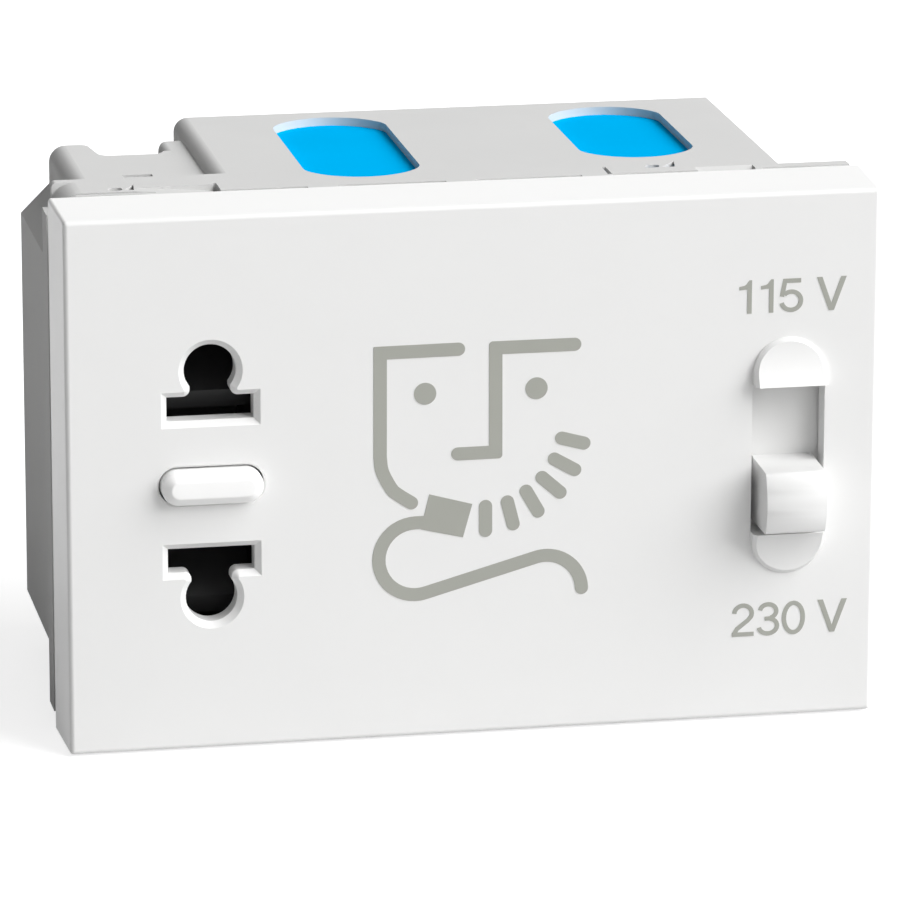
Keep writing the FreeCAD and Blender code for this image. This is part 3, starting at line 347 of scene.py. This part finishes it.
def arc(centre, across, up, start, end, steps=24):
    """Points on an ellipse. Angles in degrees, 0 to the right, 90 up."""
    points = []
    for step in range(steps + 1):
        angle = math.radians(start + (end - start) * step / steps)
        points.append((centre[0] + across * math.cos(angle), centre[1] + up * math.sin(angle)))
    return points


def curve_through(points, steps=14):
    """A smooth line through points (Catmull-Rom)."""
    made = []
    ends = [points[0]] + list(points) + [points[-1]]
    for number in range(1, len(ends) - 2):
        before, start, end, after = [Vector(ends[number + shift]) for shift in (-1, 0, 1, 2)]
        for step in range(steps):
            part = step / steps
            place = 0.5 * (2 * start + (end - before) * part
                           + (2 * before - 5 * start + 4 * end - after) * part ** 2
                           + (3 * start - before - 3 * end + after) * part ** 3)
            made.append(tuple(place))
    made.append(tuple(points[-1]))
    return made


def round_corner(point, ways, width, radius):
    """Pairs for a sharp turn: the inner corner stays, the outer one is rounded."""
    first, last = [Vector((-way.y, way.x)) for way in ways]
    outer = -1 if first.dot(ways[1]) > 0 else 1
    reach = (first + last) / (1 + first.dot(last))
    inner = point - outer * reach * width / 2
    centre = point + outer * reach * (width / 2 - radius)
    pairs = []
    for step in range(CORNER_STEPS + 1):
        edge = centre + outer * first.slerp(last, step / CORNER_STEPS) * radius
        pairs.append((edge, inner) if outer > 0 else (inner, edge))
    return pairs


def round_cap(tip, beside, width):
    """Pairs for a round end, from its outermost point inwards."""
    away = (tip - beside).normalized()
    side = Vector((-away.y, away.x))
    pairs = []
    for step in range(CAP_STEPS):
        turn = math.radians(90 * step / CAP_STEPS)
        left = tip + (away * math.cos(turn) + side * math.sin(turn)) * width / 2
        right = tip + (away * math.cos(turn) - side * math.sin(turn)) * width / 2
        pairs.append((left, right))
    return pairs


def ribbon(points, width, round_ends=False, closed=False, corner=0.0):
    """Pairs for a line of one width. A closed line's last point repeats its first."""
    line = [Vector(points[0])]
    for point in points[1:]:
        if (Vector(point) - line[-1]).length > SAME_POINT:
            line.append(Vector(point))
    if closed:
        line.pop()
        extended = [line[-1]] + line + [line[0]]
    else:
        extended = [line[0]] + line + [line[-1]]
    pairs = []
    for before, point, after in zip(extended, extended[1:], extended[2:]):
        steps = (point - before, after - point)
        ways = [way.normalized() for way in steps if way.length > SAME_POINT]
        if corner and len(ways) == 2 and ways[0].dot(ways[1]) < CORNER_TURN:
            pairs += round_corner(point, ways, width, corner)
            continue
        along = sum(ways, Vector((0, 0))).normalized()
        stretch = 1 / max(1 / WIDEST_TURN, along.dot(ways[0]))
        across = Vector((-along.y, along.x)) * width / 2 * stretch
        pairs.append((point + across, point - across))
    if closed:
        return pairs + [pairs[0]]
    if round_ends:
        # The first cap looks back along the line, so its sides are the other way round
        first = [(right, left) for left, right in round_cap(line[0], line[1], width)]
        last = round_cap(line[-1], line[-2], width)
        pairs = first + pairs + last[::-1]
    return pairs


def disc(centre, radius, steps=16):
    """Pairs for a filled circle, from its top to its bottom."""
    pairs = []
    for step in range(steps + 1):
        turn = math.pi * step / steps
        height = centre[1] + radius * math.cos(turn)
        half = radius * math.sin(turn)
        pairs.append((Vector((centre[0] - half, height)), Vector((centre[0] + half, height))))
    return pairs


# Flat ink on the front face

INK_THICK = 0.03 * MM
INK_SINK = 0.01 * MM
LAYER_STEP = 0.004 * MM
MERGE_REACH = 1e-7

ink = plastic("grey_ink", INK_GREY, 0.55, 0.2 * MM, 0.002 * MM, change=0.02, specular=0.3)


def ink_piece(name, pairs, layer=0):
    """One thin closed strip from pairs of points. Strips that overlap lie on different layers."""
    front = FACE_Y - INK_THICK - LAYER_STEP * layer
    back = FACE_Y + INK_SINK
    mesh = bpy.data.meshes.new(name)
    made = bmesh.new()
    rings = []
    for left, right in pairs:
        ring = []
        for point, level in ((left, front), (right, front), (right, back), (left, back)):
            ring.append(made.verts.new((point[0] * MM, level, point[1] * MM)))
        rings.append(ring)
    for ring, after in zip(rings, rings[1:]):
        for number in range(4):
            beside = (number + 1) % 4
            made.faces.new((ring[number], ring[beside], after[beside], after[number]))
    gaps = [(rings[0][number].co - rings[-1][number].co).length for number in (0, 1)]
    if max(gaps) > MERGE_REACH:
        made.faces.new(rings[0][::-1])
        made.faces.new(rings[-1])
    bmesh.ops.remove_doubles(made, verts=made.verts, dist=MERGE_REACH)
    bmesh.ops.recalc_face_normals(made, faces=made.faces)
    made.to_mesh(mesh)
    made.free()
    thing = bpy.data.objects.new(name, mesh)
    bpy.context.scene.collection.objects.link(thing)
    mesh.materials.append(ink)
    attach(thing, "base")


# The shaver symbol

SYMBOL_STROKE = 1.1
TIGHT_CORNER = 0.12
SOFT_CORNER = 0.32
DOT_RADIUS = 0.92
CORD_BEND = 3.05
CORD_END_BEND = 3.03


def draw_symbol():
    """A bearded face in a few lines, and a shaver with its cord."""
    cheek = curve_through([(-7.93, 1.6), (-7.75, 0.38), (-7.02, -1.05), (-6.46, -1.6), (-5.35, -2.35)])
    outline = [(-1.49, 10.38), (-7.92, 10.34)] + cheek
    nose = [(8.12, 10.34), (1.59, 10.35), (1.62, 1.60), (-1.51, 1.59)]
    beard = [
        [(0.79, -2.96), (0.80, -5.01)],
        [(2.61, -2.67), (3.09, -4.57)],
        [(4.16, -1.84), (5.16, -3.59)],
        [(5.48, -0.75), (6.99, -2.09)],
        [(6.49, 0.76), (8.20, -0.23)],
        [(7.09, 2.50), (8.95, 1.98)],
    ]
    cord = [(-4.29, -4.05)]
    cord += arc((-5.0, -7.1), CORD_BEND, CORD_BEND, 90, 285.5)
    cord += arc((5.81, -10.42), CORD_END_BEND, CORD_END_BEND, 105.5, 2)
    for number, stroke in enumerate([outline, nose] + beard + [cord]):
        corner = TIGHT_CORNER if stroke is outline else SOFT_CORNER
        pairs = ribbon(stroke, SYMBOL_STROKE, round_ends=True, corner=corner)
        ink_piece("symbol_stroke_%02d" % number, pairs)
    for number, eye in enumerate(((-4.23, 6.78), (4.98, 6.80))):
        ink_piece("symbol_dot_%d" % number, disc(eye, DOT_RADIUS))
    shaver = [((-3.88, -1.70), (-0.31, -2.70)), ((-4.59, -4.63), (-1.08, -5.48))]
    ink_piece("symbol_shaver", shaver, layer=1)


# Lettering: lines of one width with square ends. Each sign is drawn from the lower left
# corner of its own box, as strips that overlap a little.

STEM = 0.37
HALF_STEM = STEM / 2
SIGN_HEIGHT = 2.8
SIGN_WIDTH = {"0": 1.98, "1": 1.06, "2": 1.85, "3": 1.92, "5": 2.0, "V": 2.5}
STRIP_LAP = 0.005


def upright(left, right, height):
    """A straight upright strip that stands on the line."""
    return [((left, 0), (right, 0)), ((left, height), (right, height))]


def nought(width):
    overshoot = 0.05
    across = width / 2 - HALF_STEM
    up = SIGN_HEIGHT / 2 - HALF_STEM + overshoot
    ring = arc((width / 2, SIGN_HEIGHT / 2), across, up, 90, 450, 44)
    return [ribbon(ring, STEM, closed=True)]


def one(width):
    left = width - STEM
    middle = left + 0.17
    shoulder = 2.1
    flag = [((0, 2.27), (0, 1.98)), ((0.42, 2.34), (0.42, 2.02)), ((0.58, 2.44), (0.58, 2.03)),
            ((left, 2.6), (left, 2.04)), ((middle, SIGN_HEIGHT), (middle, 2.04))]
    return [flag, upright(middle - STRIP_LAP, width, SIGN_HEIGHT), upright(left, middle, shoulder)]


def two(width):
    hook = arc((width / 2, SIGN_HEIGHT - 0.83), width / 2 - HALF_STEM, 0.87 - HALF_STEM, 178, -28, 26)
    slope = [(1.32, 1.36), (0.42, 0.66), (0.2, 0.25)]
    foot = [((0, 0.36), (0, 0)), ((width, 0.36), (width, 0))]
    return [ribbon(hook + slope, STEM), foot]


def three(width):
    reach = width / 2 - HALF_STEM
    upper = arc((width / 2, SIGN_HEIGHT - 0.74), reach - 0.08, 0.78 - HALF_STEM, 170, -72, 26)
    lower = arc((width / 2, 0.79), reach, 0.83 - HALF_STEM, 78, -170, 30)
    bar = [(0.68, 1.43), (1.2, 1.44)]
    bar_width = STEM * 0.95
    return [ribbon(upper, STEM), ribbon(lower, STEM), ribbon(bar, bar_width)]


def five(width):
    top = SIGN_HEIGHT - HALF_STEM
    head = [(width - 0.18, top), (0.48, top), (0.24, 1.3)]
    bowl = arc((width / 2 + 0.02, 0.93), width / 2 - HALF_STEM, 0.95 - HALF_STEM, 136, -168, 34)
    return [ribbon(head, STEM), ribbon(bowl, STEM)]


def vee(width):
    top = SIGN_HEIGHT + 0.02
    arm = 0.46
    half_foot = 0.22
    foot = ((width / 2 - half_foot, 0), (width / 2 + half_foot, 0))
    return [[((0, top), (arm, top)), foot], [((width - arm, top), (width, top)), foot]]


SIGNS = {"0": nought, "1": one, "2": two, "3": three, "5": five, "V": vee}

# Height of each line, then its signs with their left edges
WORDS = {
    "upper": (12.24, [("1", 21.78), ("1", 23.6), ("5", 25.13), ("V", 28.28)]),
    "lower": (-15.27, [("2", 21.58), ("3", 23.67), ("0", 25.8), ("V", 28.82)]),
}


def draw_words():
    """The two voltages beside the selector's window."""
    for line, (low, signs) in WORDS.items():
        for number, (sign, left) in enumerate(signs):
            for part, pairs in enumerate(SIGNS[sign](SIGN_WIDTH[sign])):
                moved = [[(point[0] + left, point[1] + low) for point in pair] for pair in pairs]
                ink_piece("%s_sign_%d_%d" % (line, number, part), moved, layer=part)


draw_symbol()
draw_words()


# Camera, at the angle from which the photograph was taken

CAMERA_AZIMUTH = -10.89
CAMERA_ELEVATION = 15.45
CAMERA_ROLL = math.radians(0.118)
CAMERA_DISTANCE = 508.258 * MM
AIM_RIGHT = 2.123 * MM
AIM_UP = -1.775 * MM
FOCAL_PIXELS = 6246.9
IMAGE_PIXELS = 900
SENSOR_WIDTH = 36.0


def direction(azimuth, elevation):
    """The way from the part to a place around it. Degrees from the front and up."""
    around = math.radians(azimuth)
    rise = math.radians(elevation)
    level = math.cos(rise)
    return Vector((math.sin(around) * level, -math.cos(around) * level, math.sin(rise)))


def make_camera():
    around = math.radians(CAMERA_AZIMUTH)
    back = direction(CAMERA_AZIMUTH, CAMERA_ELEVATION)
    level = Vector((math.cos(around), math.sin(around), 0))
    above = back.cross(level)
    right = level * math.cos(CAMERA_ROLL) + above * math.sin(CAMERA_ROLL)
    up = -level * math.sin(CAMERA_ROLL) + above * math.cos(CAMERA_ROLL)
    data = bpy.data.cameras.new("camera")
    data.sensor_width = SENSOR_WIDTH
    data.lens = FOCAL_PIXELS / IMAGE_PIXELS * SENSOR_WIDTH
    data.clip_start = 0.01
    data.clip_end = 20.0
    camera = bpy.data.objects.new("camera", data)
    bpy.context.scene.collection.objects.link(camera)
    place = back * CAMERA_DISTANCE - right * AIM_RIGHT - up * AIM_UP + Vector((0, FACE_Y, 0))
    camera.matrix_world = Matrix.Translation(place) @ Matrix((right, up, back)).transposed().to_4x4()
    bpy.context.scene.camera = camera


# Lamps on a dome around the part, each with its azimuth and elevation in degrees and its watts

LAMP_SIZE = 2.6
LAMP_DISTANCE = 2.4
LAMP_AIM = Vector((0, 0.01, 0))
LAMPS = {
    "key": (60, 38, 102.0),
    "fill": (0, 30, 8.5),
    "back": (180, 40, 6.0),
}


def lamp(name, azimuth, elevation, power):
    """A round soft light."""
    data = bpy.data.lights.new(name, "AREA")
    data.shape = "DISK"
    data.size = LAMP_SIZE
    data.energy = power
    thing = bpy.data.objects.new(name, data)
    bpy.context.scene.collection.objects.link(thing)
    thing.location = direction(azimuth, elevation) * LAMP_DISTANCE
    thing.rotation_mode = "QUATERNION"
    thing.rotation_quaternion = (LAMP_AIM - thing.location).to_track_quat("-Z", "Y")


# Floor and world. Both show white to the camera, and light the part only faintly.

FLOOR_HALF = 3.0
FLOOR_GREY = 0.55
FLOOR_GLOW = 0.75
WORLD_LIGHT = 0.08


def shown_directly(tree):
    """1 for what the camera, a reflection or a clear piece shows, 0 for light that falls on surfaces."""
    paths = tree.nodes.new("ShaderNodeLightPath")
    value = paths.outputs["Is Camera Ray"]
    for other in ("Is Glossy Ray", "Is Transmission Ray"):
        larger = tree.nodes.new("ShaderNodeMath")
        larger.operation = "MAXIMUM"
        tree.links.new(value, larger.inputs[0])
        tree.links.new(paths.outputs[other], larger.inputs[1])
        value = larger.outputs[0]
    return value


def make_floor():
    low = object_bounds()[0].z
    corners = [(-1, -1), (1, -1), (1, 1), (-1, 1)]
    mesh = bpy.data.meshes.new("floor")
    mesh.from_pydata([(x * FLOOR_HALF, y * FLOOR_HALF, low) for x, y in corners], [], [(0, 1, 2, 3)])
    floor = bpy.data.objects.new("floor", mesh)
    bpy.context.scene.collection.objects.link(floor)
    made, tree, main = shader("floor", (FLOOR_GREY, FLOOR_GREY, FLOOR_GREY), roughness=0.9)
    main.inputs["Specular IOR Level"].default_value = 0.1
    main.inputs["Emission Color"].default_value = (1, 1, 1, 1)
    glow = tree.nodes.new("ShaderNodeMath")
    glow.operation = "MULTIPLY"
    glow.inputs[1].default_value = FLOOR_GLOW
    tree.links.new(shown_directly(tree), glow.inputs[0])
    tree.links.new(glow.outputs[0], main.inputs["Emission Strength"])
    mesh.materials.append(made)


def make_world():
    world = bpy.data.worlds.new("world")
    world.use_nodes = True
    tree = world.node_tree
    faint = tree.nodes["Background"]
    faint.inputs["Color"].default_value = (1, 1, 1, 1)
    faint.inputs["Strength"].default_value = WORLD_LIGHT
    shown = tree.nodes.new("ShaderNodeBackground")
    shown.inputs["Color"].default_value = (1, 1, 1, 1)
    shown.inputs["Strength"].default_value = 1.0
    both = tree.nodes.new("ShaderNodeMixShader")
    out = tree.nodes["World Output"]
    tree.links.new(shown_directly(tree), both.inputs["Fac"])
    tree.links.new(faint.outputs["Background"], both.inputs[1])
    tree.links.new(shown.outputs["Background"], both.inputs[2])
    tree.links.new(both.outputs["Shader"], out.inputs["Surface"])
    bpy.context.scene.world = world


make_camera()
make_floor()
make_world()
for name, (azimuth, elevation, power) in LAMPS.items():
    lamp(name, azimuth, elevation, power)
bpy.context.scene.view_settings.view_transform = "Standard"
